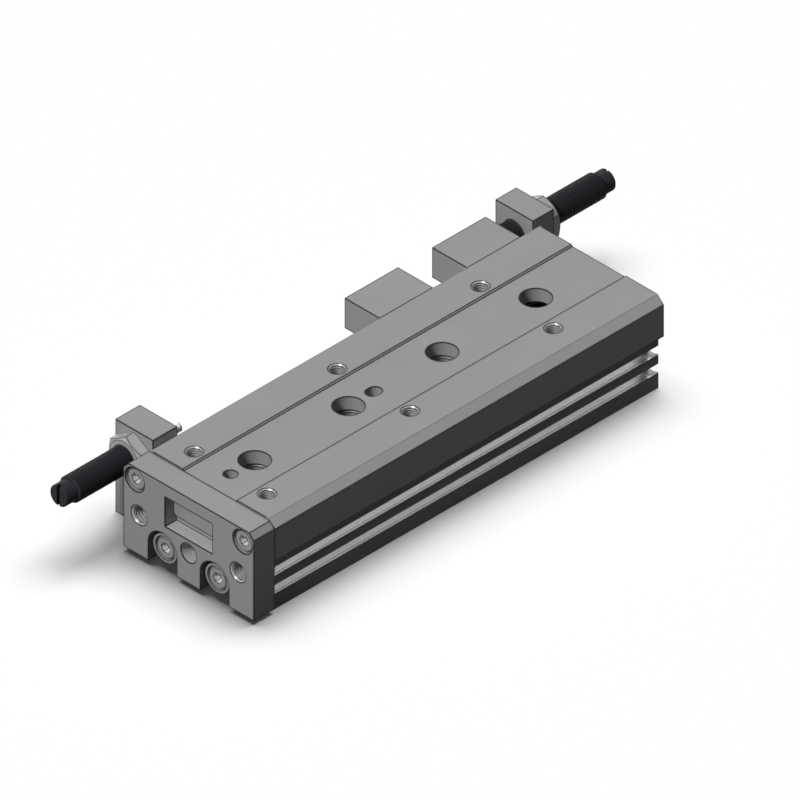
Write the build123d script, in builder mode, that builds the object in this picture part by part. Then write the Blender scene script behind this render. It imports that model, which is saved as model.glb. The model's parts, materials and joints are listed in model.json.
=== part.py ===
from build123d import *
import os

os.makedirs("parts", exist_ok=True)

# Pneumatic slide table with two parallel cylinders, shown retracted, in millimetres.
# The origin lies on the mounting face, midway along the body and between its bores.
# +X is the way the table extends, +Z is up. Left (-Y) is the shock absorber side and
# right (+Y) is the switch groove side, as seen by someone facing the end plate.

# Stroke and body
stroke = 75.0
length_over_stroke = 73.4
body_width = 47.0
body_height = 17.0
bore = 12.0
bore_pitch = 20.0
bore_height = 7.8

# Switch grooves along the right side of the body
groove_mouth = 3.0
groove_width = 3.8
groove_lip = 1.0
groove_depth = 4.0
groove_height = 6.5
groove_pitch = 6.0
groove_count = 2

# Mounting holes between the bores, counted from the front
mount_hole = 5.1
mount_head = 9.0
mount_head_depth = 5.1
mount_head_bevel = 0.5
mount_inset = 16.8
mount_pitch = 36.0
mount_count = 4
thread_mouth = 6.2
thread_mouth_depth = 0.6
dowel = 4.0
dowel_depth = 5.0
dowel_slot = 5.0

# Air ports on the left side
port_tap = 4.2
port_mouth = 5.4
port_depth = 5.0
port_passage = 2.5
port_overrun = 1.0
front_port_inset = 26.2
rear_port_inset = 12.4

# Guide rail and its crossed rollers
rail_width = 18.0
rail_height = 9.05
rail_seat_depth = 0.9
rail_overhang = 4.35
rail_over_stroke = 47.5
seat_fit = 0.02
roller = 2.9
roller_length = 2.7
roller_play = 0.05
roller_pitch = 5.0
roller_count = 14
roller_drop = 3.9
race_gap = 0.8
race_width = 7.2
race_height = 7.2
race_end_gap = 0.75
relief_width = 0.5
relief_depth = 0.4
cage_thickness = 0.5
cage_height = 5.2
cage_window = 4.2
cage_window_length = 3.1
stop_thickness = 1.05
stop_height = 6.75
stop_bevel = 0.9

# Table
table_width = 50.0
web_thickness = 4.55
web_gap = 0.25
leg_gap = 0.5
table_tail = 0.6
table_bevel = 2.4
recess_width = 21.0
recess_depth = 0.5
access_hole = 9.0
table_tap = 4.2
table_mouth = 5.2
table_mouth_depth = 0.5
table_tap_depth = 4.3
table_tap_inset = 8.0
table_tap_pitch = 55.0
table_tap_rows = 3
table_tap_span = 28.0
table_dowel_depth = 4.0

# End plate
plate_thickness = 8.1
plate_gap = 0.5
plate_lift = 1.6
plate_drop = 0.45
plate_bevel = 1.85
window_width = 18.2
window_height = 9.9
window_floor = 16.0
plate_tap = 5.0
plate_mouth = 6.2
plate_mouth_depth = 0.6
plate_tap_depth = 7.0
plate_tap_span = 38.0
plate_tap_height = 14.8
plate_dowel = 6.0
plate_dowel_depth = 6.0
plate_dowel_height = 11.7
plate_screw_inset = 4.3
plate_screw_height = 25.8
plate_screw_sink = 0.6
slot_width = 11.0
slot_neck = 7.2
slot_web = 2.5

# Rods, floating bushings and pistons
rod = 6.0
rod_spigot = 4.5
running_fit = 0.05
bushing_flange = 9.3
bushing_neck = 6.8
bushing_back = 1.45
bushing_play = 0.05
bushing_setback = 1.0
rod_screw_sink = 0.2
rod_screw_length = 12.0
piston_length = 16.0
piston_gap = 1.0
piston_seal_inset = 4.0
piston_seal_width = 2.4
piston_seal_depth = 1.5
magnet_inset = 9.6
magnet_width = 3.0
magnet_depth = 1.2

# Bore covers at both ends
head_cap_length = 14.0
head_cap_inset = 4.0
head_oring_inset = 7.0
rear_cover_length = 12.0
rear_cover_inset = 2.0
rear_oring_inset = 5.0
cover_fit = 0.02
cover_nose = 9.0
cover_nose_length = 3.6
oring_width = 1.4
oring_depth = 1.1
rod_seal_inset = 1.5
rod_seal_width = 3.0
rod_seal_depth = 1.5
snap_ring_width = 1.0
snap_ring_depth = 0.4
snap_ring_lip = 1.0
snap_ring_opening = 3.0

# Shock absorbers, their brackets and the stopper blocks
absorber = 8.1
absorber_length = 40.8
absorber_neck = 6.75
absorber_neck_length = 4.3
absorber_offset = 7.5
absorber_bevel = 0.4
slot_cut = 1.0
slot_cut_depth = 1.2
plunger = 3.0
plunger_dome = 0.6
plunger_travel = 5.8
plunger_rest = 0.2
plunger_depth = 12.0
tip_gap = 0.05
bracket_clearance = 0.3
bracket_width = 14.4
bracket_head_room = 7.6
front_bracket_thickness = 9.4
front_bracket_inset = 3.0
front_absorber_reach = 2.2
rear_bracket_thickness = 8.0
rear_absorber_reach = 4.8
rear_foot_reach = 8.5
bracket_screw_low = 4.5
bracket_screw_spacing = 8.0
bracket_screw_count = 2
bracket_screw_grip = 5.0
block_length = 20.5
block_height = 10.0
block_width = 13.5
block_lift = 0.6
block_screw_spacing = 11.0
block_screw_grip = 7.5
nut_flats = 12.0
nut_height = 4.0
nut_bevel = 1.4

# Socket-head screws, by thread: head diameter, head height, socket across flats
m4 = 4.0
m4_head = 7.0
m4_head_height = 4.0
m4_socket = 3.0
m4_thread_depth = 6.0
m3 = 3.0
m3_head = 5.5
m3_head_height = 2.0
m3_socket = 2.0
m3_thread_depth = 3.4
screw_play = 0.05
head_play = 0.2
tap_spare = 0.5
head_bevel = 0.4
socket_share = 0.55
race_screw_inset = 20.0
race_screw_pitch = 52.0
race_screw_count = 3
race_screw_side = 4.25
preload_screw_length = 6.5
preload_inset = 14.2
preload_pitch = 30.0
preload_count = 3

# Holes for the screws: threaded, clearance and head room
m4_tap = m4 + 2 * screw_play
m4_clear = m4 + 2 * head_play
m4_room = m4_head + 2 * head_play
m3_tap = m3 + 2 * screw_play
m3_room = m3_head + 2 * screw_play

# Places along X
body_length = stroke + length_over_stroke
body_front = body_length / 2
body_rear = -body_length / 2
plate_rear = body_front + plate_gap
plate_front = plate_rear + plate_thickness
table_rear = body_rear - table_tail
table_length = plate_rear - table_rear
rail_front = body_front + rail_overhang
rail_length = stroke + rail_over_stroke
rail_rear = rail_front - rail_length
mount_places = [body_front - mount_inset - mount_pitch * i for i in range(mount_count)]
rail_mounts = [x for x in mount_places if x - mount_head / 2 > rail_rear]
between_mounts = [x - mount_pitch / 2 for x in rail_mounts]
rail_screw_places = [x for x in between_mounts if x - m4_head > rail_rear]
tap_places = [plate_rear - table_tap_inset - table_tap_pitch * i for i in range(table_tap_rows)]

front_bracket_face = body_front - front_bracket_inset
front_bracket_back = front_bracket_face - front_bracket_thickness
front_bracket_middle = front_bracket_face - front_bracket_thickness / 2
rear_bracket_front = body_rear - table_tail
rear_bracket_back = rear_bracket_front - rear_bracket_thickness

# Places across Y
left = -1
right = 1
sides = {"left": left, "right": right}
bore_side = bore_pitch / 2
race_side = rail_width / 2 + race_gap / 2
race_inner = rail_width / 2 + race_gap
race_outer = race_inner + race_width
absorber_y = -(table_width / 2 + absorber_offset)
block_outer = -(table_width / 2 + block_width)
plate_screw_y = table_width / 2 - plate_screw_inset
bracket_inner = -(table_width / 2 + bracket_clearance)
bracket_outer = bracket_inner - bracket_width

# Heights
rail_bottom = body_height - rail_seat_depth
rail_top = rail_bottom + rail_height
roller_height = rail_top - roller_drop
web_bottom = rail_top + web_gap
recess_floor = web_bottom + web_thickness
table_top = recess_floor + recess_depth
leg_bottom = body_height + leg_gap
plate_top = table_top - plate_drop
block_bottom = leg_bottom + block_lift
absorber_height = block_bottom + block_height / 2
bracket_top = absorber_height + bracket_head_room
step_height = body_height + leg_gap / 2

# A groove just large enough for the rollers, as half of a square standing on its corner
channel = roller + 2 * roller_play
channel_half = channel / 2 ** 0.5


def along(x, y, z, sign=1):
    """Plane at a point whose normal points along +X, or along -X for sign -1."""
    return Plane(origin=(x, y, z), x_dir=(0, 1, 0), z_dir=(sign, 0, 0))


def across(x, y, z, sign=1):
    """Plane at a point whose normal points along +Y, or along -Y for sign -1."""
    return Plane(origin=(x, y, z), x_dir=(1, 0, 0), z_dir=(0, sign, 0))


def upward(x, y, z, sign=1):
    """Plane at a point whose normal points up, or down for sign -1."""
    return Plane(origin=(x, y, z), x_dir=(1, 0, 0), z_dir=(0, 0, sign))


def turned(base, outline, mode=Mode.ADD):
    """Revolve an outline of (radius, height) points about the normal of its base plane."""
    half = Plane(origin=base.origin, x_dir=base.x_dir, z_dir=-base.y_dir)
    with BuildSketch(half) as profile:
        Polygon(*outline, align=None)
    revolve(profile.sketch, axis=Axis(base.origin, base.z_dir), mode=mode)


def drilled(mouth, diameter, depth):
    """Round hole that sinks into the part from a mouth plane facing outwards."""
    with BuildSketch(mouth) as hole:
        Circle(diameter / 2)
    extrude(hole.sketch, amount=-depth, mode=Mode.SUBTRACT)


def countersunk(mouth, hole, depth, rim, rim_depth):
    """Hole with a countersunk mouth. A tapped hole is drawn at its tap diameter."""
    drilled(mouth, hole, depth)
    outline = [(0, 0), (rim / 2, 0), (hole / 2, -rim_depth), (0, -rim_depth)]
    turned(mouth, outline, mode=Mode.SUBTRACT)


def counterbored(mouth, hole, depth, head, head_depth):
    """Through hole with a flat-bottomed seat for a screw head."""
    drilled(mouth, hole, depth)
    drilled(mouth, head, head_depth)


def cap_screw(seat, thread, length, head, head_height, socket):
    """Socket-head cap screw whose head rests on the seat plane and faces along its normal."""
    turned(seat, [
        (0, -length), (thread / 2 - head_bevel / 2, -length), (thread / 2, head_bevel - length),
        (thread / 2, 0), (head / 2, 0), (head / 2, head_height - head_bevel),
        (head / 2 - head_bevel, head_height), (0, head_height),
    ])
    with BuildSketch(seat.offset(head_height)) as hexagon:
        RegularPolygon(socket / 2, 6, major_radius=False)
    extrude(hexagon.sketch, amount=-head_height * socket_share, mode=Mode.SUBTRACT)


def set_screw(mouth, thread, length, socket):
    """Headless socket screw whose open end lies in the mouth plane."""
    with BuildSketch(mouth) as shank:
        Circle(thread / 2)
    extrude(shank.sketch, amount=-length)
    with BuildSketch(mouth) as hexagon:
        RegularPolygon(socket / 2, 6, major_radius=False)
    extrude(hexagon.sketch, amount=-length / 2, mode=Mode.SUBTRACT)


def ring(base, inner, outer, height):
    """Plain ring standing on its base plane, given by its radii."""
    turned(base, [(inner, 0), (outer, 0), (outer, height), (inner, height)])


def roller_groove(face, inwards):
    """Outline across Y and Z of a roller groove with a relief at its root.

    The face is the Y of the surface it opens through, inwards the way that it deepens.
    """
    root = face + inwards * (channel_half - race_gap / 2)
    lip = race_gap / 2
    half_relief = relief_width / 2
    shoulder = root - inwards * half_relief
    bottom = root + inwards * (relief_depth - half_relief)
    reach = channel_half - race_gap / 2 + lip
    mouth = face - inwards * lip
    Polygon(
        (mouth, roller_height - reach), (shoulder, roller_height - half_relief),
        (bottom, roller_height - half_relief), (bottom, roller_height + half_relief),
        (shoulder, roller_height + half_relief), (mouth, roller_height + reach),
        align=None, mode=Mode.SUBTRACT,
    )


def switch_groove(height):
    """Undercut switch groove in the right side of the body, centred at a height."""
    side = body_width / 2
    with Locations((side - groove_lip / 2, height)):
        Rectangle(groove_lip, groove_mouth, mode=Mode.SUBTRACT)
    chamber = groove_depth - groove_lip
    with Locations((side - groove_lip - chamber / 2, height)):
        Rectangle(chamber, groove_width, mode=Mode.SUBTRACT)


# Cylinder body: an extruded block with two bores, and the seat of the guide rail on top
with BuildPart() as body:
    with BuildSketch(along(body_rear, 0, 0)):
        with Locations((0, body_height / 2)):
            Rectangle(body_width, body_height)
        with Locations((0, body_height)):
            Rectangle(rail_width + 2 * seat_fit, 2 * rail_seat_depth, mode=Mode.SUBTRACT)
        with Locations((-bore_side, bore_height), (bore_side, bore_height)):
            Circle(bore / 2, mode=Mode.SUBTRACT)
        for i in range(groove_count):
            switch_groove(groove_height + groove_pitch * i)
    extrude(amount=body_length)
    for x in mount_places:
        drilled(upward(x, 0, body_height), mount_hole, body_height)
        countersunk(upward(x, 0, 0, -1), mount_hole, thread_mouth_depth, thread_mouth, thread_mouth_depth)
        if x not in rail_mounts:
            drilled(upward(x, 0, rail_bottom), mount_head, mount_head_depth)
    for x in rail_screw_places:
        drilled(upward(x, 0, rail_bottom), m4_tap, m4_thread_depth + tap_spare)
    drilled(upward(mount_places[0] - mount_pitch / 2, 0, 0, -1), dowel, dowel_depth)
    with BuildSketch(upward(mount_places[2] - mount_pitch / 2, 0, 0, -1)):
        SlotOverall(dowel_slot, dowel)
    extrude(amount=-dowel_depth, mode=Mode.SUBTRACT)
    for x in (body_front - front_port_inset, body_rear + rear_port_inset):
        port = across(x, -body_width / 2, bore_height, -1)
        countersunk(port, port_tap, port_depth, port_mouth, thread_mouth_depth)
        drilled(port, port_passage, body_width / 2 + bore_side - bore / 2 + port_overrun)
    for y in (-bore_side, bore_side):
        groove_radius = bore / 2 + snap_ring_depth
        snap_groove = [(0, 0), (groove_radius, 0), (groove_radius, snap_ring_width), (0, snap_ring_width)]
        front_ring = along(body_front - head_cap_inset, y, bore_height)
        turned(front_ring, snap_groove, mode=Mode.SUBTRACT)
        rear_ring = along(body_rear + rear_cover_inset, y, bore_height, -1)
        turned(rear_ring, snap_groove, mode=Mode.SUBTRACT)
    for i in range(bracket_screw_count):
        z = bracket_screw_low + bracket_screw_spacing * i
        drilled(across(front_bracket_middle, -body_width / 2, z, -1), m4_tap, m4_thread_depth + tap_spare)
        y = -body_width / 2 + rear_foot_reach / 2
        drilled(along(body_rear, y, z, -1), m4_tap, m4_thread_depth + tap_spare)
body.part.label = "body"

# Guide rail, screwed into its seat, with a roller groove along each side
with BuildPart() as guide_rail:
    with BuildSketch(along(rail_rear, 0, 0)):
        with Locations((0, rail_bottom + rail_height / 2)):
            Rectangle(rail_width, rail_height)
        roller_groove(rail_width / 2, -1)
        roller_groove(-rail_width / 2, 1)
    extrude(amount=rail_length)
    for x in rail_mounts:
        mouth = upward(x, 0, rail_top)
        drilled(mouth, mount_hole, rail_height)
        rim = mount_head + 2 * mount_head_bevel
        countersunk(mouth, mount_head, mount_head_depth, rim, mount_head_bevel)
    for x in rail_screw_places:
        counterbored(upward(x, 0, rail_top), m4_clear, rail_height, m4_room, m4_head_height + head_play)
guide_rail.part.label = "guide_rail"

with BuildPart() as rail_screws:
    for x in rail_screw_places:
        seat = upward(x, 0, rail_top - m4_head_height - head_play)
        grip = rail_height - m4_head_height - head_play
        cap_screw(seat, m4, grip + m4_thread_depth, m4_head, m4_head_height, m4_socket)
rail_screws.part.label = "rail_screws"

# Thin plates on the rail's ends, which close the roller grooves and stop the cages
for name, x, sign in (("cage_stop_front", rail_front, 1), ("cage_stop_rear", rail_rear, -1)):
    with BuildPart() as cage_stop:
        with BuildSketch(along(x, 0, 0, sign)):
            with Locations((0, sign * (rail_top - stop_height / 2))):
                Rectangle(rail_width, stop_height)
        extrude(amount=stop_thickness)
        low_corners = cage_stop.edges().filter_by(Axis.X).group_by(Axis.Z)[0]
        chamfer(low_corners, stop_bevel)
    cage_stop.part.label = name
    export_step(cage_stop.part, f"parts/{name}.step")

# Crossed rollers in their cages: neighbours lie at right angles, so that each pair
# carries load both ways. A cage runs half as far as the table.
roller_train = roller_pitch * roller_count
cage_middle = rail_front - rail_length / 2 - stroke / 4
first_roller = cage_middle - roller_train / 2 + roller_pitch / 2
for name, side in sides.items():
    cage_inner = side * race_side - cage_thickness / 2
    with BuildPart() as cage:
        with BuildSketch(across(cage_middle, cage_inner, roller_height, 1)):
            Rectangle(roller_train, cage_height)
            with GridLocations(roller_pitch, 0, roller_count, 1):
                Rectangle(cage_window_length, cage_window, mode=Mode.SUBTRACT)
        extrude(amount=cage_thickness)
    cage.part.label = f"cage_{name}"
    export_step(cage.part, f"parts/cage_{name}.step")

    with BuildPart() as rollers:
        for i in range(roller_count):
            lean = 1 if i % 2 else -1
            centre = (first_roller + roller_pitch * i, side * race_side, roller_height)
            axle = Plane(origin=centre, x_dir=(1, 0, 0), z_dir=(0, 1, lean))
            with BuildSketch(axle.offset(-roller_length / 2)):
                Circle(roller / 2)
            extrude(amount=roller_length)
    rollers.part.label = f"rollers_{name}"
    export_step(rollers.part, f"parts/rollers_{name}.step")

# Bore covers, seals and snap rings, two of each
for name, side in sides.items():
    axis_y = side * bore_side
    cap_front = body_front - head_cap_inset
    cap_radius = bore / 2 - cover_fit
    groove_root = cap_radius - oring_depth
    with BuildPart() as head_cap:
        seal_root = rod / 2 + rod_seal_depth
        hole = rod / 2 + running_fit
        seal_end = rod_seal_inset + rod_seal_width
        oring_start = head_oring_inset - oring_width / 2
        oring_end = head_oring_inset + oring_width / 2
        turned(along(cap_front, axis_y, bore_height, -1), [
            (hole, 0), (cap_radius, 0), (cap_radius, oring_start), (groove_root, oring_start),
            (groove_root, oring_end), (cap_radius, oring_end), (cap_radius, head_cap_length),
            (hole, head_cap_length), (hole, seal_end), (seal_root, seal_end),
            (seal_root, rod_seal_inset), (hole, rod_seal_inset),
        ])
    head_cap.part.label = f"head_cap_{name}"
    export_step(head_cap.part, f"parts/head_cap_{name}.step")

    with BuildPart() as rear_cover:
        oring_start = rear_oring_inset - oring_width / 2
        oring_end = rear_oring_inset + oring_width / 2
        nose = rear_cover_length - cover_nose_length
        turned(along(body_rear + rear_cover_inset, axis_y, bore_height), [
            (0, 0), (cap_radius, 0), (cap_radius, oring_start), (groove_root, oring_start),
            (groove_root, oring_end), (cap_radius, oring_end), (cap_radius, nose),
            (cover_nose / 2, nose), (cover_nose / 2, rear_cover_length), (0, rear_cover_length),
        ])
    rear_cover.part.label = f"rear_cover_{name}"
    export_step(rear_cover.part, f"parts/rear_cover_{name}.step")

with BuildPart() as cover_orings:
    for y in (-bore_side, bore_side):
        front_x = body_front - head_cap_inset - head_oring_inset - oring_width / 2
        rear_x = body_rear + rear_cover_inset + rear_oring_inset - oring_width / 2
        for x in (front_x, rear_x):
            ring(along(x + seat_fit, y, bore_height), groove_root, cap_radius, oring_width - 2 * seat_fit)
cover_orings.part.label = "cover_orings"

with BuildPart() as rod_seals:
    for y in (-bore_side, bore_side):
        back = body_front - head_cap_inset - rod_seal_inset - rod_seal_width + seat_fit
        width = rod_seal_width - 2 * seat_fit
        ring(along(back, y, bore_height), rod / 2 + running_fit, seal_root, width)
rod_seals.part.label = "rod_seals"

# Spring rings in grooves of the bores, each with an opening at the top
with BuildPart() as snap_rings:
    for y in (-bore_side, bore_side):
        outer = bore / 2 + snap_ring_depth - seat_fit
        inner = bore / 2 - snap_ring_lip
        front_x = body_front - head_cap_inset
        rear_x = body_rear + rear_cover_inset - snap_ring_width
        for x in (front_x, rear_x):
            ring(along(x, y, bore_height), inner, outer, snap_ring_width)
            with BuildSketch(along(x, y, bore_height + bore / 2)):
                Rectangle(snap_ring_opening, bore / 2)
            extrude(amount=snap_ring_width, mode=Mode.SUBTRACT)
snap_rings.part.label = "snap_rings"

# Table: a channel with a thick web, which slides along the rail on the rollers
with BuildPart() as table:
    half = table_width / 2
    floor_half = recess_width / 2 - recess_depth
    with BuildSketch(along(table_rear, 0, 0)):
        with BuildLine():
            Polyline(
                (-half, leg_bottom), (-race_outer, leg_bottom), (-race_outer, web_bottom),
                (race_outer, web_bottom), (race_outer, leg_bottom), (half, leg_bottom),
                (half, table_top - table_bevel), (half - table_bevel, table_top),
                (recess_width / 2, table_top), (floor_half, recess_floor),
                (-floor_half, recess_floor), (-recess_width / 2, table_top),
                (table_bevel - half, table_top), (-half, table_top - table_bevel),
                close=True,
            )
        make_face()
    extrude(amount=table_length)
    for x in mount_places:
        drilled(upward(x, 0, recess_floor), access_hole, web_thickness)
    for x in tap_places:
        for y in (-table_tap_span / 2, table_tap_span / 2):
            countersunk(upward(x, y, table_top), table_tap, table_tap_depth, table_mouth, table_mouth_depth)
    drilled(upward(tap_places[0], 0, recess_floor), dowel, table_dowel_depth)
    with BuildSketch(upward(tap_places[1], 0, recess_floor)):
        SlotOverall(dowel_slot, dowel)
    extrude(amount=-table_dowel_depth, mode=Mode.SUBTRACT)
    for y in (-plate_screw_y, plate_screw_y):
        drilled(along(plate_rear, y, plate_screw_height), m4_tap, m4_thread_depth + tap_spare)
    race_screw_y = race_inner + race_screw_side
    race_screws_x = [plate_rear - race_screw_inset - race_screw_pitch * i for i in range(race_screw_count)]
    for x in race_screws_x:
        for y in (-race_screw_y, race_screw_y):
            drilled(upward(x, y, web_bottom, -1), m3_tap, m3_thread_depth + tap_spare)
    preload_x = [plate_rear - preload_inset - preload_pitch * i for i in range(preload_count)]
    for x in preload_x:
        drilled(across(x, -half, roller_height, -1), m4_tap, half - race_outer)
    front_absorber_end = front_bracket_back - front_absorber_reach
    rear_absorber_end = rear_bracket_front + rear_absorber_reach
    block_front_face = front_absorber_end - plunger_rest - tip_gap - stroke
    block_rear_face = rear_absorber_end + plunger_rest + tip_gap
    block_middles = [block_front_face - block_length / 2, block_rear_face + block_length / 2]
    block_screws_x = [x + step * block_screw_spacing / 2 for x in block_middles for step in (-1, 1)]
    for x in block_screws_x:
        drilled(across(x, -half, absorber_height, -1), m4_tap, m4_thread_depth + tap_spare)
table.part.label = "table"

# End plate: slotted from below for the floating bushings, with a window for the rail's end
with BuildPart() as end_plate:
    plate_bottom = plate_lift
    with BuildSketch(along(plate_rear, 0, 0)):
        with BuildLine():
            Polyline(
                (-half, plate_bottom), (half, plate_bottom), (half, plate_top - plate_bevel),
                (half - plate_bevel, plate_top), (plate_bevel - half, plate_top),
                (-half, plate_top - plate_bevel), close=True,
            )
        make_face()
        with Locations((0, window_floor + window_height / 2)):
            Rectangle(window_width, window_height, mode=Mode.SUBTRACT)
    extrude(amount=plate_thickness)
    for start, depth, width in (
        (plate_rear, plate_thickness, slot_neck),
        (plate_rear + slot_web, plate_thickness - slot_web, slot_width),
    ):
        with BuildSketch(along(start, 0, 0)):
            for y in (-bore_side, bore_side):
                with Locations((y, bore_height)):
                    Circle(width / 2)
                with Locations((y, bore_height / 2)):
                    Rectangle(width, bore_height)
        extrude(amount=depth, mode=Mode.SUBTRACT)
    for y in (-plate_screw_y, plate_screw_y):
        counterbored(
            along(plate_front, y, plate_screw_height), m4_clear, plate_thickness,
            m4_room, m4_head_height + plate_screw_sink,
        )
    for y in (-plate_tap_span / 2, plate_tap_span / 2):
        mouth = along(plate_front, y, plate_tap_height)
        countersunk(mouth, plate_tap, plate_tap_depth, plate_mouth, plate_mouth_depth)
    drilled(along(plate_front, 0, plate_dowel_height), plate_dowel, plate_dowel_depth)
end_plate.part.label = "end_plate"

with BuildPart() as end_plate_screws:
    for y in (-plate_screw_y, plate_screw_y):
        seat = along(plate_front - m4_head_height - plate_screw_sink, y, plate_screw_height)
        grip = plate_thickness - m4_head_height - plate_screw_sink
        cap_screw(seat, m4, grip + m4_thread_depth, m4_head, m4_head_height, m4_socket)
end_plate_screws.part.label = "end_plate_screws"

# Two piston rods, each held to the plate by a bushing that floats in its slot
rod_end = plate_rear - bushing_play - bushing_back
piston_rear = body_rear + rear_cover_inset + rear_cover_length + piston_gap
piston_front = piston_rear + piston_length
bushing_front = plate_front - bushing_setback
screw_front = bushing_front - rod_screw_sink
screw_seat = screw_front - m4_head_height
piston_radius = bore / 2 - running_fit
for name, side in sides.items():
    axis_y = side * bore_side
    with BuildPart() as piston_rod:
        turned(along(piston_rear, axis_y, bore_height), [
            (0, 0), (rod_spigot / 2, 0), (rod_spigot / 2, piston_length), (rod / 2, piston_length),
            (rod / 2, rod_end - piston_rear), (0, rod_end - piston_rear),
        ])
        socket_depth = rod_screw_length - (screw_seat - rod_end) + tap_spare
        drilled(along(rod_end, axis_y, bore_height), m4_tap, socket_depth)
    piston_rod.part.label = f"piston_rod_{name}"
    export_step(piston_rod.part, f"parts/piston_rod_{name}.step")

    with BuildPart() as bushing:
        flange = bushing_flange / 2
        neck_start = bushing_back
        neck_end = bushing_back + slot_web + 2 * bushing_play
        front = bushing_front - rod_end
        turned(along(rod_end, axis_y, bore_height), [
            (0, 0), (flange, 0), (flange, neck_start), (bushing_neck / 2, neck_start),
            (bushing_neck / 2, neck_end), (flange, neck_end), (flange, front), (0, front),
        ])
        counterbored(
            along(bushing_front, axis_y, bore_height), m4_clear, front,
            m4_room, bushing_front - screw_seat,
        )
    bushing.part.label = f"floating_bushing_{name}"
    export_step(bushing.part, f"parts/floating_bushing_{name}.step")

    with BuildPart() as piston:
        seal_root = piston_radius - piston_seal_depth
        magnet_root = piston_radius - magnet_depth
        spigot_hole = rod_spigot / 2
        seal_end = piston_seal_inset + piston_seal_width
        magnet_end = magnet_inset + magnet_width
        turned(along(piston_rear, axis_y, bore_height), [
            (spigot_hole, 0), (piston_radius, 0), (piston_radius, piston_seal_inset),
            (seal_root, piston_seal_inset), (seal_root, seal_end), (piston_radius, seal_end),
            (piston_radius, magnet_inset), (magnet_root, magnet_inset), (magnet_root, magnet_end),
            (piston_radius, magnet_end), (piston_radius, piston_length), (spigot_hole, piston_length),
        ])
    piston.part.label = f"piston_{name}"
    export_step(piston.part, f"parts/piston_{name}.step")

with BuildPart() as piston_seals:
    for y in (-bore_side, bore_side):
        base = along(piston_rear + piston_seal_inset, y, bore_height)
        ring(base, piston_radius - piston_seal_depth, piston_radius, piston_seal_width)
piston_seals.part.label = "piston_seals"

with BuildPart() as magnets:
    for y in (-bore_side, bore_side):
        base = along(piston_rear + magnet_inset, y, bore_height)
        ring(base, piston_radius - magnet_depth, piston_radius, magnet_width)
magnets.part.label = "magnets"

with BuildPart() as rod_screws:
    for y in (-bore_side, bore_side):
        seat = along(screw_seat, y, bore_height)
        cap_screw(seat, m4, rod_screw_length, m4_head, m4_head_height, m4_socket)
rod_screws.part.label = "rod_screws"

# Hardened raceways, screwed up into the web; set screws press the left one on the rollers
race_start = table_rear + race_end_gap
race_length = table_length - 2 * race_end_gap
race_bottom = web_bottom - race_height
for name, side in sides.items():
    with BuildPart() as raceway:
        with BuildSketch(along(race_start, 0, 0)):
            with Locations((side * (race_inner + race_width / 2), web_bottom - race_height / 2)):
                Rectangle(race_width, race_height)
            roller_groove(side * race_inner, side)
        extrude(amount=race_length)
        for x in race_screws_x:
            mouth = upward(x, side * race_screw_y, race_bottom, -1)
            counterbored(mouth, m3_tap, race_height, m3_room, m3_head_height + head_play)
    raceway.part.label = f"raceway_{name}"
    export_step(raceway.part, f"parts/raceway_{name}.step")

with BuildPart() as raceway_screws:
    for x in race_screws_x:
        for y in (-race_screw_y, race_screw_y):
            seat = upward(x, y, race_bottom + m3_head_height + head_play, -1)
            grip = race_height - m3_head_height - head_play
            cap_screw(seat, m3, grip + m3_thread_depth, m3_head, m3_head_height, m3_socket)
raceway_screws.part.label = "raceway_screws"

with BuildPart() as preload_screws:
    for x in preload_x:
        mouth = across(x, -race_outer - preload_screw_length, roller_height, -1)
        set_screw(mouth, m4, preload_screw_length, m3_socket)
preload_screws.part.label = "preload_screws"

# Stopper blocks on the table's left side, which strike the absorbers at each end
for name, x in (("stopper_block_front", block_middles[0]), ("stopper_block_rear", block_middles[1])):
    with BuildPart() as block:
        with BuildSketch(across(x, -half, absorber_height, -1)):
            Rectangle(block_length, block_height)
        extrude(amount=block_width)
        for step in (-1, 1):
            mouth = across(x + step * block_screw_spacing / 2, block_outer, absorber_height, -1)
            counterbored(mouth, m4_clear, block_width, m4_room, block_width - block_screw_grip)
    block.part.label = name
    export_step(block.part, f"parts/{name}.step")

with BuildPart() as stopper_screws:
    for x in block_screws_x:
        seat = across(x, -half - block_screw_grip, absorber_height, -1)
        cap_screw(seat, m4, block_screw_grip + m4_thread_depth, m4_head, m4_head_height, m4_socket)
stopper_screws.part.label = "stopper_screws"

# Front bracket: an upright on the body's left side, stepped to clear the table
with BuildPart() as front_bracket:
    with BuildSketch(along(front_bracket_back, 0, 0)):
        with BuildLine():
            Polyline(
                (bracket_outer, 0), (-body_width / 2, 0), (-body_width / 2, step_height),
                (bracket_inner, step_height), (bracket_inner, bracket_top),
                (bracket_outer, bracket_top), close=True,
            )
        make_face()
    extrude(amount=front_bracket_thickness)
    drilled(along(front_bracket_face, absorber_y, absorber_height), absorber, front_bracket_thickness)
    for i in range(bracket_screw_count):
        z = bracket_screw_low + bracket_screw_spacing * i
        mouth = across(front_bracket_middle, bracket_outer, z, -1)
        reach = -body_width / 2 - bracket_outer
        counterbored(mouth, m4_clear, reach, m4_room, reach - bracket_screw_grip)
front_bracket.part.label = "front_bracket"

with BuildPart() as front_bracket_screws:
    for i in range(bracket_screw_count):
        z = bracket_screw_low + bracket_screw_spacing * i
        seat = across(front_bracket_middle, -body_width / 2 - bracket_screw_grip, z, -1)
        cap_screw(seat, m4, bracket_screw_grip + m4_thread_depth, m4_head, m4_head_height, m4_socket)
front_bracket_screws.part.label = "front_bracket_screws"

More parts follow.
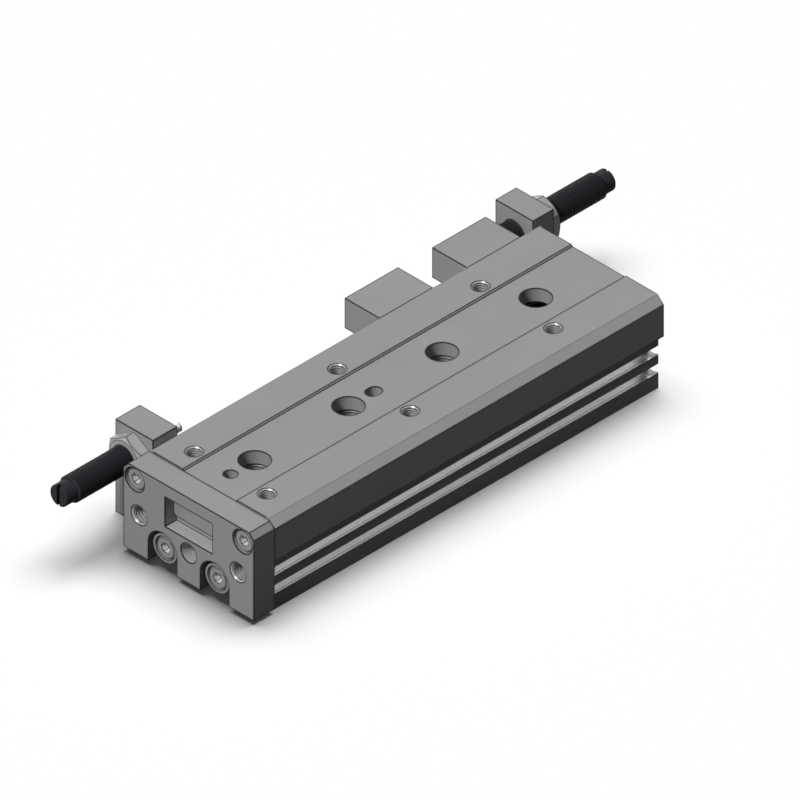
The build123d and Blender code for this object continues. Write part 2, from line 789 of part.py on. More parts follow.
# Rear bracket: an angle whose foot is screwed to the body's rear face
foot_inner = -body_width / 2 + rear_foot_reach
with BuildPart() as rear_bracket:
    with BuildSketch(along(rear_bracket_back, 0, 0)):
        with BuildLine():
            Polyline(
                (bracket_outer, 0), (foot_inner, 0), (foot_inner, step_height),
                (bracket_inner, step_height), (bracket_inner, bracket_top),
                (bracket_outer, bracket_top), close=True,
            )
        make_face()
    extrude(amount=rear_bracket_thickness)
    with BuildSketch(along(rear_bracket_front, 0, 0)):
        with Locations(((foot_inner - body_width / 2) / 2, step_height / 2)):
            Rectangle(rear_foot_reach, step_height)
    extrude(amount=table_tail)
    drilled(along(rear_bracket_front, absorber_y, absorber_height), absorber, rear_bracket_thickness)
    for i in range(bracket_screw_count):
        z = bracket_screw_low + bracket_screw_spacing * i
        mouth = along(rear_bracket_back, foot_inner - rear_foot_reach / 2, z, -1)
        reach = body_rear - rear_bracket_back
        counterbored(mouth, m4_clear, reach, m4_room, m4_head_height)
rear_bracket.part.label = "rear_bracket"

with BuildPart() as rear_bracket_screws:
    for i in range(bracket_screw_count):
        z = bracket_screw_low + bracket_screw_spacing * i
        seat = along(rear_bracket_back + m4_head_height, foot_inner - rear_foot_reach / 2, z, -1)
        grip = body_rear - rear_bracket_back - m4_head_height
        cap_screw(seat, m4, grip + m4_thread_depth, m4_head, m4_head_height, m4_socket)
rear_bracket_screws.part.label = "rear_bracket_screws"

# Absorbers: a threaded barrel with a slotted end, a lock nut and a sprung plunger.
# Each is built from its working end, with the plane's normal pointing out of the barrel.
working_ends = {
    "front": along(front_absorber_end, absorber_y, absorber_height, -1),
    "rear": along(rear_absorber_end, absorber_y, absorber_height),
}
plunger_stands = {"front": plunger_rest + plunger_travel, "rear": plunger_rest}
nut_faces = {
    "front": along(front_bracket_face, absorber_y, absorber_height),
    "rear": along(rear_bracket_back, absorber_y, absorber_height, -1),
}
for name, end in working_ends.items():
    barrel = absorber / 2
    tail = absorber_neck_length - absorber_length
    well = plunger / 2 + running_fit
    well_depth = plunger_depth + plunger_travel
    with BuildPart() as shock_absorber:
        turned(end, [
            (well, 0), (barrel - absorber_bevel, 0), (barrel, -absorber_bevel),
            (barrel, tail + absorber_bevel), (barrel - absorber_bevel, tail), (absorber_neck / 2, tail),
            (absorber_neck / 2, absorber_bevel - absorber_length),
            (absorber_neck / 2 - absorber_bevel, -absorber_length),
            (0, -absorber_length), (0, -well_depth), (well, -well_depth),
        ])
        with BuildSketch(end.offset(-absorber_length)):
            Rectangle(slot_cut, absorber)
        extrude(amount=slot_cut_depth, mode=Mode.SUBTRACT)
    shock_absorber.part.label = f"{name}_absorber"
    export_step(shock_absorber.part, f"parts/{name}_absorber.step")

    with BuildPart() as plunger_pin:
        stand = plunger_stands[name]
        turned(end, [
            (0, stand - plunger_depth), (plunger / 2, stand - plunger_depth),
            (plunger / 2, stand - plunger_dome), (plunger / 2 - plunger_dome, stand), (0, stand),
        ])
    plunger_pin.part.label = f"{name}_plunger"
    export_step(plunger_pin.part, f"parts/{name}_plunger.step")

    with BuildPart() as lock_nut:
        face = nut_faces[name]
        with BuildSketch(face):
            RegularPolygon(nut_flats / 2, 6, major_radius=False, rotation=90)
            Circle(absorber / 2, mode=Mode.SUBTRACT)
        extrude(amount=nut_height)
        corner = nut_flats / 3 ** 0.5
        shoulder = nut_height - nut_bevel / 3 ** 0.5
        bevel = [(corner - nut_bevel, nut_height), (corner + nut_bevel, nut_height)]
        bevel += [(corner + nut_bevel, shoulder), (corner, shoulder)]
        turned(face, bevel, mode=Mode.SUBTRACT)
    lock_nut.part.label = f"{name}_lock_nut"
    export_step(lock_nut.part, f"parts/{name}_lock_nut.step")

export_step(body.part, "parts/body.step")
export_step(guide_rail.part, "parts/guide_rail.step")
export_step(rail_screws.part, "parts/rail_screws.step")
export_step(cover_orings.part, "parts/cover_orings.step")
export_step(rod_seals.part, "parts/rod_seals.step")
export_step(snap_rings.part, "parts/snap_rings.step")
export_step(table.part, "parts/table.step")
export_step(end_plate.part, "parts/end_plate.step")
export_step(end_plate_screws.part, "parts/end_plate_screws.step")
export_step(piston_seals.part, "parts/piston_seals.step")
export_step(magnets.part, "parts/magnets.step")
export_step(rod_screws.part, "parts/rod_screws.step")
export_step(raceway_screws.part, "parts/raceway_screws.step")
export_step(preload_screws.part, "parts/preload_screws.step")
export_step(stopper_screws.part, "parts/stopper_screws.step")
export_step(front_bracket.part, "parts/front_bracket.step")
export_step(front_bracket_screws.part, "parts/front_bracket_screws.step")
export_step(rear_bracket.part, "parts/rear_bracket.step")
export_step(rear_bracket_screws.part, "parts/rear_bracket_screws.step")
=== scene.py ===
"""Pneumatic slide table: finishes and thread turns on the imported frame, then the studio."""

import json
import math

import bpy
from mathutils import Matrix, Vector


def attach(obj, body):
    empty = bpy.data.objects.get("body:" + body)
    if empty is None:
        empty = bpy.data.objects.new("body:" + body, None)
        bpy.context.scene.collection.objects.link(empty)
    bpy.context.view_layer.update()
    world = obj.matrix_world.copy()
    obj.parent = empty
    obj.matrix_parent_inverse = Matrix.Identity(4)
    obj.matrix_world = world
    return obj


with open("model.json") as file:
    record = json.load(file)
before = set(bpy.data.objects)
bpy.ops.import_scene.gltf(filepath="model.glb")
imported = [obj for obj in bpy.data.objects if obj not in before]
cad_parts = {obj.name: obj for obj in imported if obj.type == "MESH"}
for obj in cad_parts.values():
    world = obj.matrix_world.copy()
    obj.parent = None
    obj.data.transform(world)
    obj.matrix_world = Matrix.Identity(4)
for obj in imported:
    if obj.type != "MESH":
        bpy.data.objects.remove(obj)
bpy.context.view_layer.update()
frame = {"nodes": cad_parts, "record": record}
nodes = frame["nodes"]

# Lengths are given in millimetres, and this turns them into Blender's metres
MM = 0.001

# Greys of the finishes, as linear values
ANODISED = 0.32
GROUND_STEEL = 0.32
SCREW_STEEL = 0.34
BLACK_OXIDE = 0.036
NUT_PLATE = 0.44
EDGE_DARK = 0.035

# Dark lines along sharp edges: their width, and how far the rounded normal turns before they show
EDGE_REACH = 0.6
FINE_EDGE = 0.36
EDGE_STARTS = 0.999
EDGE_FULL = 0.99
EDGE_SAMPLES = 12

# A surface counts as facing along an axis from this share of its normal on
FLAT_SHARE = 0.95

# Noise in the metals: its scale and detail, the span of it that is used, and what it changes
GRAIN_DEPTH = 0.004
GRAIN_DETAIL = 3.0
GRAIN_SPAN = (0.25, 0.75)
GRAIN_STRENGTH = 0.6
ROUGHNESS_SPREAD = 0.05
CLOUD_SCALE = 45.0
CLOUD_DETAIL = 4.0
CLOUD_SPAN = (0.3, 0.7)

# Table: its top, its bevels and its six tapped holes
TABLE_TOP = 30.45
TABLE_BEVEL = 2.4
BEVEL_SIDE = 22.6
BEVEL_LINE = 0.8
BEVEL_LINE_SHARE = 0.3
# Painted light: the share of the cut finish laid on the two long bevels to lighten them
BEVEL_PAINTED_LIGHT = 0.3
TABLE_TAPS = [(x, y) for x in (66.7, 11.7, -43.3) for y in (-14.0, 14.0)]
TABLE_TAP_PITCH = 55.0
TABLE_TAP_MOUTH = 2.7
TABLE_TAP_DEPTH = 4.2

# End plate: its front face, tapped holes, dowel hole, window sill and screws
PLATE_FRONT = 82.8
PLATE_TAP_SIDE = 19.0
PLATE_TAP_HEIGHT = 14.8
PLATE_TAP_REACH = 3.2
PLATE_DOWEL_HEIGHT = 11.7
PLATE_DOWEL_REACH = 3.1
WINDOW_SIDE = 9.2
WINDOW_SILL = (15.9, 16.4)
PLATE_SCREW_SIDE = 20.7
PLATE_SCREW_HEIGHT = 25.8
ROD_SIDE = 10.0
ROD_HEIGHT = 7.8
# Reach of the painted light in the screws' hexagon sockets
SOCKET_REACH = 1.75

# Body: its switch grooves, mounting threads and air ports
GROOVE_SIDES = (19.3, 23.48)
GROOVE_HEIGHTS = (4.4, 14.6)
GROOVE_END = 74.1
# Painted shade that dims the grooves' painted light towards their rear end, over these places, down
# to this share
GROOVE_PAINTED_SHADE_END = (-71.9, -70.4)
GROOVE_PAINTED_SHADE_SHARE = 0.3
MOUNT_PLACES = (57.4, 21.4, -14.6, -50.6)
PORT_PLACES = (48.0, -61.8)
PORT_HEIGHT = 7.8
LEFT_FACE = -23.5

# Absorbers: the axis they share and their barrels
ABSORBER_SIDE = -32.5
ABSORBER_HEIGHT = 23.1
BARREL_WIDTH = 8.1
BARREL_RIDGE = 0.035

# How deep each thread's first turn lies under the mouth of its hole, or how high over the base
TABLE_TURNS_DEPTH = 4.7
PLATE_TURNS_DEPTH = 6.7
PORT_TURNS_DEPTH = 4.8
BASE_TURNS_START = 0.8

# Turns that bring a thread's axis from upwards to where the hole points
UPWARDS = (0.0, 0.0, 0.0)
TOWARDS_X = (0.0, math.pi / 2, 0.0)
TOWARDS_LEFT = (math.pi / 2, 0.0, 0.0)

# Studio
FLOOR_REACH = 3000.0
FLOOR_GAP = 0.02
FLOOR_BASE_LIGHT = 0.03
FLOOR_DIM = 0.05
AMBIENT = 0.015
VIEW_CENTRE = (0.79, -0.79, 21.24)
VIEW_WIDTH = 217.3
CAMERA_DISTANCE = 1000.0
CAMERA_RANGE = 10000.0


def blank_material(name):
    """Material with an empty node tree and its output."""
    material = bpy.data.materials.new(name)
    material.use_nodes = True
    material.node_tree.nodes.clear()
    return material, material.node_tree


def place(tree, kind, inputs=None, **settings):
    """Node with its settings, and each input given as a value or as the socket that feeds it."""
    node = tree.nodes.new(kind)
    for key, value in settings.items():
        setattr(node, key, value)
    for key, value in (inputs or {}).items():
        socket = node.inputs[key]
        if isinstance(value, bpy.types.NodeSocket):
            tree.links.new(value, socket)
        else:
            socket.default_value = value
    return node


def reckon(tree, operation, first, second=0.0, third=0.0):
    """Result of one step of arithmetic on numbers or sockets."""
    step = place(tree, "ShaderNodeMath", {0: first, 1: second, 2: third}, operation=operation)
    return step.outputs["Value"]


def both(tree, first, second):
    """1 where two masks are both 1."""
    return reckon(tree, "MULTIPLY", first, second)


def either(tree, first, second):
    """The larger of two masks."""
    return reckon(tree, "MAXIMUM", first, second)


def grey(level):
    """Grey colour of a linear value."""
    return (level, level, level, 1.0)


def along_axes(tree, spot):
    """Coordinates of a spot along X, Y and Z."""
    return place(tree, "ShaderNodeSeparateXYZ", {0: spot}).outputs


def edge_mask(tree, reach):
    """1 along sharp edges and 0 on faces, from the normal rounded over a reach."""
    rounded = place(tree, "ShaderNodeBevel", {"Radius": reach * MM}, samples=EDGE_SAMPLES)
    face = place(tree, "ShaderNodeNewGeometry")
    match = place(tree, "ShaderNodeVectorMath", {
        0: rounded.outputs["Normal"], 1: face.outputs["Normal"],
    }, operation="DOT_PRODUCT")
    return place(tree, "ShaderNodeMapRange", {
        "Value": match.outputs["Value"], "From Min": EDGE_STARTS, "From Max": EDGE_FULL,
        "To Min": 0.0, "To Max": 1.0,
    }).outputs["Result"]


def within(tree, value, low, high):
    """1 where a coordinate lies between two limits."""
    return reckon(tree, "COMPARE", value, (low + high) / 2 * MM, (high - low) / 2 * MM)


def aside(tree, axes):
    """Distance from the middle plane of the table."""
    return reckon(tree, "ABSOLUTE", axes["Y"])


def off_centre(tree, value, centre, mirror=False, pitch=0.0):
    """Distance from a centre, from its mirror image too, or from the nearest of a row of places."""
    if mirror:
        value = reckon(tree, "ABSOLUTE", value)
    shifted = reckon(tree, "SUBTRACT", value, centre * MM)
    if pitch:
        half = pitch / 2 * MM
        shifted = reckon(tree, "WRAP", shifted, -half, half)
    return shifted


def near_axis(tree, first, second, radius):
    """1 within a radius of an axis, from the distances to it along two directions."""
    squares = [reckon(tree, "POWER", side, 2.0) for side in (first, second)]
    total = reckon(tree, "ADD", *squares)
    return reckon(tree, "LESS_THAN", total, (radius * MM) ** 2)


def not_facing(tree, axis):
    """1 where a surface doesn't face straight along an axis."""
    facing = place(tree, "ShaderNodeNewGeometry").outputs["True Normal"]
    flatness = reckon(tree, "ABSOLUTE", along_axes(tree, facing)[axis])
    return reckon(tree, "LESS_THAN", flatness, FLAT_SHARE)


def groove_painted_light_zone(tree, spot):
    """Inside of the two switch grooves, behind the body's right face, as painted light: a bright
    mirror finish that stands in for light the lamps don't bring into them, dimmed by painted shade
    towards the rear end.
    """
    axes = along_axes(tree, spot)
    across = within(tree, axes["Y"], *GROOVE_SIDES)
    height = within(tree, axes["Z"], *GROOVE_HEIGHTS)
    length = within(tree, axes["X"], -GROOVE_END, GROOVE_END)
    # Painted shade: the grooves' painted light fades towards the rear end
    shade_from, shade_to = GROOVE_PAINTED_SHADE_END
    painted_shade_fade = place(tree, "ShaderNodeMapRange", {
        "Value": axes["X"], "From Min": shade_from * MM, "From Max": shade_to * MM,
        "To Min": GROOVE_PAINTED_SHADE_SHARE, "To Max": 1.0,
    }).outputs["Result"]
    return both(tree, both(tree, both(tree, across, height), length), painted_shade_fade)


def table_tap_zone(tree, spot):
    """Countersinks and walls of the six tapped holes in the table's top."""
    axes = along_axes(tree, spot)
    along = off_centre(tree, axes["X"], TABLE_TAPS[0][0], pitch=TABLE_TAP_PITCH)
    across = off_centre(tree, axes["Y"], TABLE_TAPS[1][1], mirror=True)
    around = near_axis(tree, along, across, TABLE_TAP_MOUTH)
    depth = within(tree, axes["Z"], TABLE_TOP - TABLE_TAP_DEPTH, TABLE_TOP)
    return both(tree, both(tree, around, depth), not_facing(tree, "Z"))


def bevel_lines(tree, spot):
    """Lines along the table, where its two long bevels leave its top."""
    axes = along_axes(tree, spot)
    across = within(tree, aside(tree, axes), BEVEL_SIDE - BEVEL_LINE, BEVEL_SIDE + 2 * BEVEL_LINE)
    height = within(tree, axes["Z"], TABLE_TOP - TABLE_BEVEL, TABLE_TOP + BEVEL_LINE)
    return both(tree, across, height)


def table_cut_and_painted_light_zone(tree, spot):
    """The tapped holes in full, as brighter cut metal, and in part the milled bevels along the
    table, as painted light that lightens them.
    """
    axes = along_axes(tree, spot)
    beyond = reckon(tree, "GREATER_THAN", aside(tree, axes), BEVEL_SIDE * MM)
    slanted = both(tree, not_facing(tree, "Z"), not_facing(tree, "Y"))
    bevel = both(tree, both(tree, beyond, slanted), not_facing(tree, "X"))
    # Painted light on the bevels
    share = reckon(tree, "MULTIPLY", bevel, BEVEL_PAINTED_LIGHT)
    return either(tree, table_tap_zone(tree, spot), share)


def sockets(tree, spot, side, height):
    """Hexagon sockets of two cap screws along X, at mirrored places across Y, where painted light
    brightens their shaded hollows.
    """
    axes = along_axes(tree, spot)
    across = off_centre(tree, axes["Y"], side, mirror=True)
    return near_axis(tree, across, off_centre(tree, axes["Z"], height), SOCKET_REACH)


def plate_socket_painted_light(tree, spot):
    """Sockets of the two screws that hold the plate to the table, brightened by painted light."""
    return sockets(tree, spot, PLATE_SCREW_SIDE, PLATE_SCREW_HEIGHT)


def rod_socket_painted_light(tree, spot):
    """Sockets of the two screws that hold the rods' bushings, brightened by painted light."""
    return sockets(tree, spot, ROD_SIDE, ROD_HEIGHT)


def plate_cut_and_painted_light_zone(tree, spot):
    """Walls of the plate's two tapped holes and of its dowel hole, and the sill of its window:
    lighter as cut metal, and lighter still as painted light standing in for light these hollows
    don't get.
    """
    axes = along_axes(tree, spot)
    across = off_centre(tree, axes["Y"], PLATE_TAP_SIDE, mirror=True)
    height = off_centre(tree, axes["Z"], PLATE_TAP_HEIGHT)
    tapped = both(tree, near_axis(tree, across, height, PLATE_TAP_REACH), not_facing(tree, "X"))
    sill = both(tree, within(tree, axes["Y"], -WINDOW_SIDE, WINDOW_SIDE),
                within(tree, axes["Z"], *WINDOW_SILL))
    dowel_height = off_centre(tree, axes["Z"], PLATE_DOWEL_HEIGHT)
    reamed = near_axis(tree, axes["Y"], dowel_height, PLATE_DOWEL_REACH)
    milled = both(tree, either(tree, sill, reamed), not_facing(tree, "X"))
    return either(tree, tapped, milled)


def metal(name, tone, *, rough, metallic, stretch=(1, 1, 1), grain=900.0, grain_depth=GRAIN_DEPTH,
          mottle=0.03, edge=EDGE_DARK, edge_reach=EDGE_REACH, faint_lines=None, tint=(1, 1, 1),
          specular=0.05, cut_and_painted_light_zone=None, cut_and_painted_light_tone=0.5, cut_metallic=0.5, cut_rough=0.35):
    """Metal with a fine grain, faint clouding and dark edge lines, brighter in its cut zone: there
    as cut metal, and as painted light where that zone lightens grooves, sockets, plate hollows and
    bevels the lamps leave dark.
    """
    material, tree = blank_material(name)
    spot = place(tree, "ShaderNodeTexCoord").outputs["Object"]
    run = place(tree, "ShaderNodeMapping", {"Vector": spot, "Scale": stretch}).outputs["Vector"]
    fine = place(tree, "ShaderNodeTexNoise", {
        "Vector": run, "Scale": grain, "Detail": GRAIN_DETAIL,
    }).outputs["Fac"]
    cloud = place(tree, "ShaderNodeTexNoise", {
        "Vector": spot, "Scale": CLOUD_SCALE, "Detail": CLOUD_DETAIL,
    }).outputs["Fac"]

    shade = place(tree, "ShaderNodeMapRange", {
        "Value": cloud, "From Min": CLOUD_SPAN[0], "From Max": CLOUD_SPAN[1],
        "To Min": 1.0 - mottle, "To Max": 1.0 + mottle,
    }).outputs["Result"]
    flat = [tone * channel for channel in tint]
    face = place(tree, "ShaderNodeVectorMath", {
        0: flat, "Scale": shade,
    }, operation="SCALE").outputs["Vector"]
    roughness = place(tree, "ShaderNodeMapRange", {
        "Value": fine, "From Min": GRAIN_SPAN[0], "From Max": GRAIN_SPAN[1],
        "To Min": rough - ROUGHNESS_SPREAD, "To Max": rough + ROUGHNESS_SPREAD,
    }).outputs["Result"]
    # The cut zone brings cut metal's brighter tone, and painted light where it lightens shaded
    # hollows and bevels
    if cut_and_painted_light_zone:
        cut = cut_and_painted_light_zone(tree, spot)
        face = place(tree, "ShaderNodeMix", {
            "Factor": cut, "A": face, "B": [cut_and_painted_light_tone] * 3,
        }, data_type="VECTOR").outputs["Result"]
        roughness = place(tree, "ShaderNodeMix", {
            "Factor": cut, "A": roughness, "B": cut_rough,
        }).outputs["Result"]
        metallic = place(tree, "ShaderNodeMix", {
            "Factor": cut, "A": metallic, "B": cut_metallic,
        }).outputs["Result"]

    dark = [edge * channel for channel in tint]
    line = edge_mask(tree, edge_reach)
    if faint_lines:
        kept = place(tree, "ShaderNodeMapRange", {
            "Value": faint_lines(tree, spot), "To Min": 1.0, "To Max": BEVEL_LINE_SHARE,
        }).outputs["Result"]
        line = both(tree, line, kept)
    colour = place(tree, "ShaderNodeMix", {
        "Factor": line, "A": face, "B": dark,
    }, data_type="VECTOR").outputs["Result"]
    bump = place(tree, "ShaderNodeBump", {
        "Height": fine, "Distance": grain_depth * MM, "Strength": GRAIN_STRENGTH,
    })
    surface = place(tree, "ShaderNodeBsdfPrincipled", {
        "Base Color": colour, "Metallic": metallic, "Roughness": roughness,
        "Specular IOR Level": specular, "Normal": bump.outputs["Normal"],
    })
    place(tree, "ShaderNodeOutputMaterial", {"Surface": surface.outputs["BSDF"]})
    return material


along_x = (0.04, 1.0, 1.0)
finishes = {
    "anodised": metal("anodised_aluminium", ANODISED, rough=0.36, metallic=0.0,
                      stretch=along_x, grain=1400.0),
    # Painted light in the switch grooves, bright and mirror-like, with painted shade at their rear
    # end
    "grooved_body_painted_light": metal("anodised_body_aluminium_painted_groove_light", ANODISED, rough=0.36, metallic=0.0,
                          stretch=along_x, grain=1400.0, edge_reach=0.28, cut_and_painted_light_zone=groove_painted_light_zone,
                          cut_and_painted_light_tone=0.9, cut_metallic=0.9, cut_rough=0.24),
    # Cut metal in the tapped holes, and painted light on the long bevels
    "tapped_table": metal("anodised_table_aluminium_painted_bevel_light", ANODISED, rough=0.36, metallic=0.0,
                          stretch=along_x, grain=1400.0, cut_and_painted_light_zone=table_cut_and_painted_light_zone,
                          faint_lines=bevel_lines),
    # Cut metal and painted light in the plate's holes and window sill
    "milled_plate": metal("anodised_plate_aluminium_painted_hollow_light", ANODISED, rough=0.38, metallic=0.0,
                          grain=1200.0, cut_and_painted_light_zone=plate_cut_and_painted_light_zone, cut_and_painted_light_tone=0.52, cut_metallic=0.15),
    "bracket_grey": metal("bracket_aluminium", ANODISED, rough=0.4, metallic=0.0, grain=1100.0),
    "rail_steel": metal("ground_rail_steel", GROUND_STEEL, rough=0.34, metallic=0.05,
                        stretch=along_x, grain=2200.0),
    "roller_steel": metal("polished_roller_steel", 0.6, rough=0.15, metallic=0.9),
    "cage_brass": metal("stamped_cage_brass", 0.5, rough=0.35, metallic=0.8,
                        tint=(1.0, 0.76, 0.4)),
    "block_steel": metal("satin_block_steel", ANODISED, rough=0.4, metallic=0.0),
    "screw_steel": metal("plated_screw_steel", SCREW_STEEL, rough=0.32, metallic=0.05,
                         edge_reach=FINE_EDGE),
    # Painted light in the hexagon sockets of these screws
    "plate_screw": metal("plated_plate_screw_steel_painted_socket_light", SCREW_STEEL, rough=0.32, metallic=0.05,
                         edge_reach=FINE_EDGE, cut_and_painted_light_zone=plate_socket_painted_light,
                         cut_and_painted_light_tone=0.75, cut_metallic=0.1),
    "rod_screw": metal("plated_rod_screw_steel_painted_socket_light", SCREW_STEEL, rough=0.32, metallic=0.05,
                       edge_reach=FINE_EDGE, cut_and_painted_light_zone=rod_socket_painted_light,
                       cut_and_painted_light_tone=0.75, cut_metallic=0.1),
    "bushing_steel": metal("turned_bushing_steel", GROUND_STEEL, rough=0.32, metallic=0.05,
                           edge_reach=FINE_EDGE),
    "rod_chrome": metal("hard_chrome", 0.65, rough=0.12, metallic=0.95, grain_depth=0.001),
    "piston_alloy": metal("turned_piston_aluminium", 0.45, rough=0.4, metallic=0.5),
    "cover_alloy": metal("turned_cover_aluminium", 0.4, rough=0.45, metallic=0.4),
    "seal_rubber": metal("seal_rubber_black", 0.02, rough=0.7, metallic=0.0, edge=0.01),
    "magnet": metal("bonded_magnet", 0.03, rough=0.7, metallic=0.0, edge=0.01),
    "ring_steel": metal("spring_ring_steel", 0.12, rough=0.4, metallic=0.5, edge=0.03),
    "absorber_black": metal("black_oxide_barrel", BLACK_OXIDE, rough=0.5, metallic=0.0,
                            edge=0.003, edge_reach=0.08, tint=(1.0, 0.96, 1.12), specular=0.02),
    "plunger_steel": metal("polished_plunger_steel", 0.85, rough=0.2, metallic=0.6, edge=0.2),
    "nut_plated": metal("bright_nut_plating", NUT_PLATE, rough=0.3, metallic=0.05, edge=0.13),
    "thread_cut": metal("fresh_thread_cut", 0.32, rough=0.35, metallic=0.3, edge_reach=0.1),
}

# Pieces with cut holes, grooves or sockets have a finish of their own, with painted light in
# grooves, sockets, plate hollows and bevels, the others their slot's
cut_pieces = {"body": "grooved_body_painted_light", "table": "tapped_table", "end_plate": "milled_plate",
              "end_plate_screws": "plate_screw", "rod_screws": "rod_screw"}
slots = {part["node"]: part["material_slot"] for part in frame["record"]["subparts"]}
for name, node in nodes.items():
    node.data.materials.clear()
    node.data.materials.append(finishes[cut_pieces.get(name, slots[name])])


def thread_turns():
    """Tree that winds a thread's ridge from each point: a kite profile on a level helix."""
    tree = bpy.data.node_groups.new("thread_turns", "GeometryNodeTree")
    sizes = {"Points": "Geometry", "Wall Radius": "Float", "Pitch": "Float", "Turns": "Float",
             "Ridge Height": "Float", "Root Width": "Float", "Steps": "Int",
             "Axis Turn": "Vector", "Thread Metal": "Material"}
    for title, kind in sizes.items():
        tree.interface.new_socket(title, in_out="INPUT", socket_type="NodeSocket" + kind)
    tree.interface.new_socket("Threads", in_out="OUTPUT", socket_type="NodeSocketGeometry")
    given = tree.nodes.new("NodeGroupInput").outputs

    length = place(tree, "ShaderNodeMath", {
        0: given["Pitch"], 1: given["Turns"],
    }, operation="MULTIPLY")
    helix = place(tree, "GeometryNodeCurveSpiral", {
        "Resolution": given["Steps"], "Rotations": given["Turns"],
        "Start Radius": given["Wall Radius"], "End Radius": given["Wall Radius"],
        "Height": length.outputs[0], "Reverse": True,
    })
    level = place(tree, "GeometryNodeSetCurveNormal", {
        "Curve": helix.outputs["Curve"],
    }, mode="Z_UP")
    kite = place(tree, "GeometryNodeCurvePrimitiveQuadrilateral", {
        "Width": given["Root Width"], "Bottom Height": given["Ridge Height"],
        "Top Height": given["Ridge Height"],
    }, mode="KITE")
    upright = place(tree, "GeometryNodeTransform", {
        "Geometry": kite.outputs["Curve"], "Rotation": (0.0, 0.0, math.pi / 2),
    })
    ridge = place(tree, "GeometryNodeCurveToMesh", {
        "Curve": level.outputs["Curve"], "Profile Curve": upright.outputs["Geometry"],
        "Fill Caps": True,
    })
    turn = place(tree, "FunctionNodeEulerToRotation", {"Euler": given["Axis Turn"]})
    threads = place(tree, "GeometryNodeInstanceOnPoints", {
        "Points": given["Points"], "Instance": ridge.outputs["Mesh"],
        "Rotation": turn.outputs["Rotation"],
    })
    real = place(tree, "GeometryNodeRealizeInstances", {"Geometry": threads.outputs["Instances"]})
    dressed = place(tree, "GeometryNodeSetMaterial", {
        "Geometry": real.outputs["Geometry"], "Material": given["Thread Metal"],
    })
    place(tree, "NodeGroupOutput", {"Threads": dressed.outputs["Geometry"]})
    return tree


def cut_threads(name, body, metal_name, starts, axis_turn, *, bore, pitch, turns,
                height=0.18, root=0.6, steps=28):
    """Ridges of one thread size, each wound from its start, as one mesh that rides a body."""
    points = bpy.data.meshes.new(name + "_starts")
    points.from_pydata([[part * MM for part in start] for start in starts], [], [])
    holder = bpy.data.objects.new(name + "_starts", points)
    bpy.context.scene.collection.objects.link(holder)
    winding = holder.modifiers.new("thread_turns", "NODES")
    winding.node_group = thread_tree
    values = {"Wall Radius": bore / 2 * MM, "Pitch": pitch * MM, "Turns": float(turns),
              "Ridge Height": height * MM, "Root Width": root * pitch * MM, "Steps": steps,
              "Axis Turn": axis_turn, "Thread Metal": finishes[metal_name]}
    for socket in thread_tree.interface.items_tree:
        if socket.name in values:
            winding[socket.identifier] = values[socket.name]
    wound = holder.evaluated_get(bpy.context.evaluated_depsgraph_get())
    mesh = bpy.data.meshes.new_from_object(wound)
    bpy.data.objects.remove(holder)
    mesh.name = name
    mesh.materials.clear()
    mesh.materials.append(finishes[metal_name])
    for face in mesh.polygons:
        face.material_index = 0
    piece = bpy.data.objects.new(name, mesh)
    bpy.context.scene.collection.objects.link(piece)
    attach(piece, body)


thread_tree = thread_turns()
cut_threads("table_thread_turns", "moving_table", "thread_cut",
            [(x, y, TABLE_TOP - TABLE_TURNS_DEPTH) for x, y in TABLE_TAPS],
            UPWARDS, bore=4.2, pitch=0.8, turns=5)
cut_threads("plate_thread_turns", "moving_table", "thread_cut",
            [(PLATE_FRONT - PLATE_TURNS_DEPTH, side * PLATE_TAP_SIDE, PLATE_TAP_HEIGHT)
             for side in (-1, 1)],
            TOWARDS_X, bore=5.0, pitch=1.0, turns=6)
cut_threads("port_thread_turns", "cylinder", "thread_cut",
            [(x, LEFT_FACE + PORT_TURNS_DEPTH, PORT_HEIGHT) for x in PORT_PLACES],
            TOWARDS_LEFT, bore=4.2, pitch=0.8, turns=5)
cut_threads("base_thread_turns", "cylinder", "thread_cut",
            [(x, 0.0, BASE_TURNS_START) for x in MOUNT_PLACES],
            UPWARDS, bore=5.1, pitch=1.0, turns=9, height=0.12)

# Fine thread on the barrels where they stand clear of bracket and nut, by its start and its turns
barrel_spans = {"front_barrel_thread": (75.6, 20), "front_barrel_inner_thread": (60.2, 1.4),
                "rear_barrel_thread": (-106.2, 19), "rear_barrel_inner_thread": (-73.8, 3.2)}
for name, (start, turns) in barrel_spans.items():
    cut_threads(name, "cylinder", "absorber_black",
                [(start, ABSORBER_SIDE, ABSORBER_HEIGHT)], TOWARDS_X, bore=BARREL_WIDTH,
                pitch=1.0, turns=turns, height=BARREL_RIDGE, root=0.8, steps=48)

# Floor: white to the eye and to reflections, dim to the light that it throws back
floor_mesh = bpy.data.meshes.new("studio_floor")
reach = FLOOR_REACH * MM
floor_mesh.from_pydata([(-reach, -reach, 0), (reach, -reach, 0), (reach, reach, 0),
                        (-reach, reach, 0)], [], [(0, 1, 2, 3)])
floor = bpy.data.objects.new("studio_floor", floor_mesh)
floor.location.z = -FLOOR_GAP * MM
bpy.context.scene.collection.objects.link(floor)


def seen_directly(tree):
    """1 for rays that show a surface to the camera, in a reflection or through glass."""
    path = place(tree, "ShaderNodeLightPath").outputs
    mirrored = either(tree, path["Is Camera Ray"], path["Is Glossy Ray"])
    return either(tree, mirrored, path["Is Transmission Ray"])


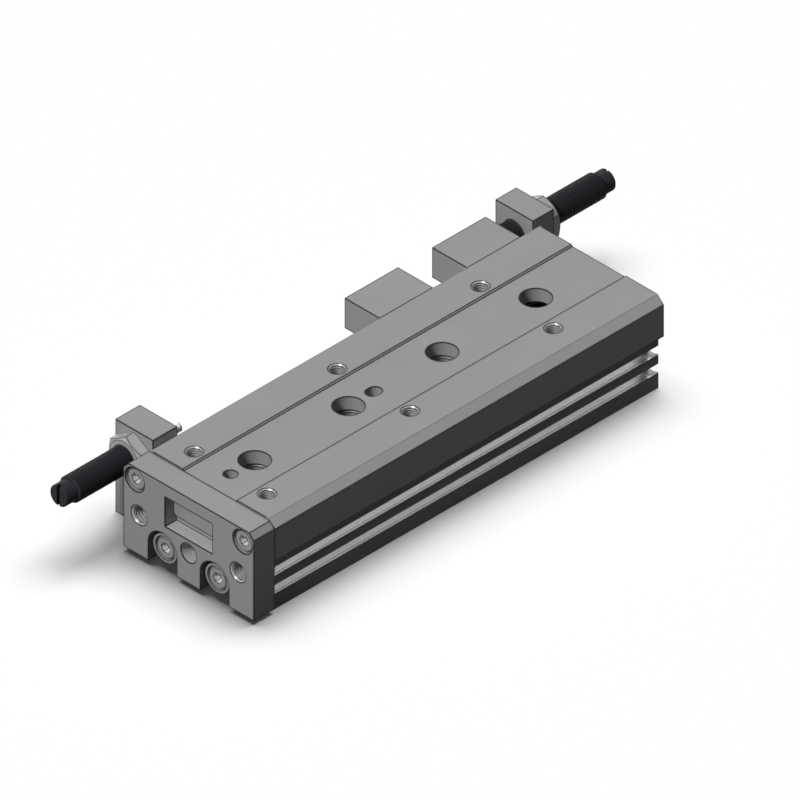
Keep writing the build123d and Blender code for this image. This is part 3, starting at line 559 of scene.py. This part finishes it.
floor_paint, tree = blank_material("studio_floor_white")
lit_white = place(tree, "ShaderNodeBsdfDiffuse", {"Color": grey(1.0)}).outputs["BSDF"]
base_white = place(tree, "ShaderNodeEmission", {"Color": grey(FLOOR_BASE_LIGHT)})
white = place(tree, "ShaderNodeAddShader", {0: lit_white, 1: base_white.outputs["Emission"]})
dim = place(tree, "ShaderNodeBsdfDiffuse", {"Color": grey(FLOOR_DIM)}).outputs["BSDF"]
look = place(tree, "ShaderNodeMixShader", {0: seen_directly(tree), 1: dim, 2: white.outputs[0]})
place(tree, "ShaderNodeOutputMaterial", {"Surface": look.outputs[0]})
floor_mesh.materials.append(floor_paint)

# World: white behind everything, faint as light
world = bpy.data.worlds.new("studio")
world.use_nodes = True
tree = world.node_tree
tree.nodes.clear()
strength = place(tree, "ShaderNodeMapRange", {
    "Value": seen_directly(tree), "To Min": AMBIENT, "To Max": 1.0,
})
sky = place(tree, "ShaderNodeBackground", {
    "Color": grey(1.0), "Strength": strength.outputs["Result"],
})
place(tree, "ShaderNodeOutputWorld", {"Surface": sky.outputs[0]})
bpy.context.scene.world = world


def light_group(name, state):
    """Collection that ties a lamp to the floor alone, or to everything but the floor."""
    group = bpy.data.collections.new(name)
    group.objects.link(floor)
    group.collection_objects[0].light_linking.link_state = state
    return group


def soft_light(name, towards_light, *, spread, level, lit):
    """Distant soft lamp. A level of 1 shows a facing matt surface in its own colour."""
    lamp = bpy.data.lights.new(name, "SUN")
    lamp.angle = math.radians(spread)
    lamp.energy = level * math.pi
    holder = bpy.data.objects.new(name, lamp)
    holder.rotation_euler = Vector(towards_light).to_track_quat("Z", "Y").to_euler()
    holder.light_linking.receiver_collection = lit
    bpy.context.scene.collection.objects.link(holder)


on_floor = light_group("on_floor", "INCLUDE")
on_object = light_group("on_object", "EXCLUDE")
soft_light("floor_shade_rear", (-0.3, 0, 1), spread=38, level=0.578, lit=on_floor)
soft_light("floor_shade_left", (0, -0.3, 1), spread=38, level=0.419, lit=on_floor)
soft_light("overhead", (0, 0, 1), spread=40, level=0.28, lit=on_object)
soft_light("front_key", (0.73, 0.02, 0.683), spread=14, level=0.8, lit=on_object)
soft_light("back_fill", (-0.65, -0.6, 0.15), spread=50, level=0.36, lit=on_object)

# Camera: isometric, from the front right
azimuth, elevation = math.radians(135), math.atan(math.sqrt(0.5))
back = Vector((math.sin(azimuth) * math.cos(elevation), -math.cos(azimuth) * math.cos(elevation),
               math.sin(elevation)))
lens = bpy.data.cameras.new("isometric_camera")
lens.type = "ORTHO"
lens.ortho_scale = VIEW_WIDTH * MM
lens.clip_end = CAMERA_RANGE * MM
camera = bpy.data.objects.new("isometric_camera", lens)
camera.location = Vector(VIEW_CENTRE) * MM + back * CAMERA_DISTANCE * MM
camera.rotation_euler = back.to_track_quat("Z", "Y").to_euler()
bpy.context.scene.collection.objects.link(camera)
bpy.context.scene.camera = camera

bpy.context.scene.view_settings.view_transform = "Standard"
